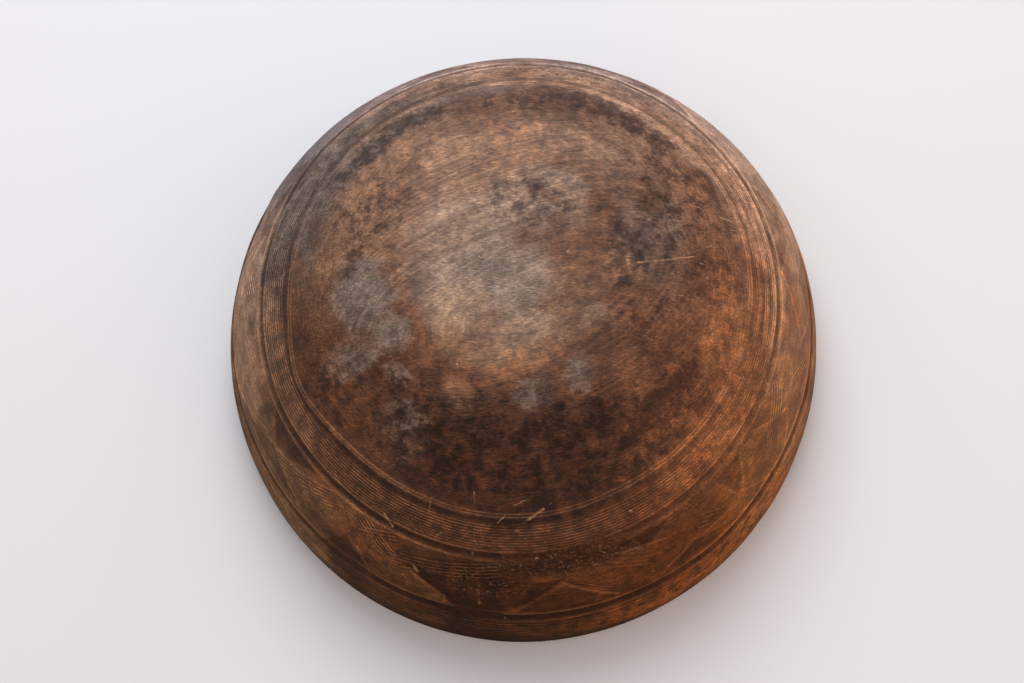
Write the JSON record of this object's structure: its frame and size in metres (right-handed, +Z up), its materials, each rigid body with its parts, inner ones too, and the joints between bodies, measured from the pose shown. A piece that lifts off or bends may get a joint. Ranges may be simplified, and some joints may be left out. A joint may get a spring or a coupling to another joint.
{
  "type": "wooden bowl",
  "caption": "Round hollowed wooden bowl with a flat resting patch and an upright lip, ringed outside by comb-cut lines, two broad grooves and a carved row of paired triangles.",
  "frame": {"origin": "centre of the flat patch the bowl stands on, which is also the bottom centre of its bounding box", "axes": "+Z up along the bowl's axis, out of its mouth; +X and +Y level, with the first pair of triangles eight degrees round from -Y"},
  "size_m": [0.3, 0.3, 0.112],
  "materials": {
    "wood": "worn, low satin, dark patina"
  },
  "bodies": {
    "root": {"bowl": "wood"}
  },
  "joints": []
}
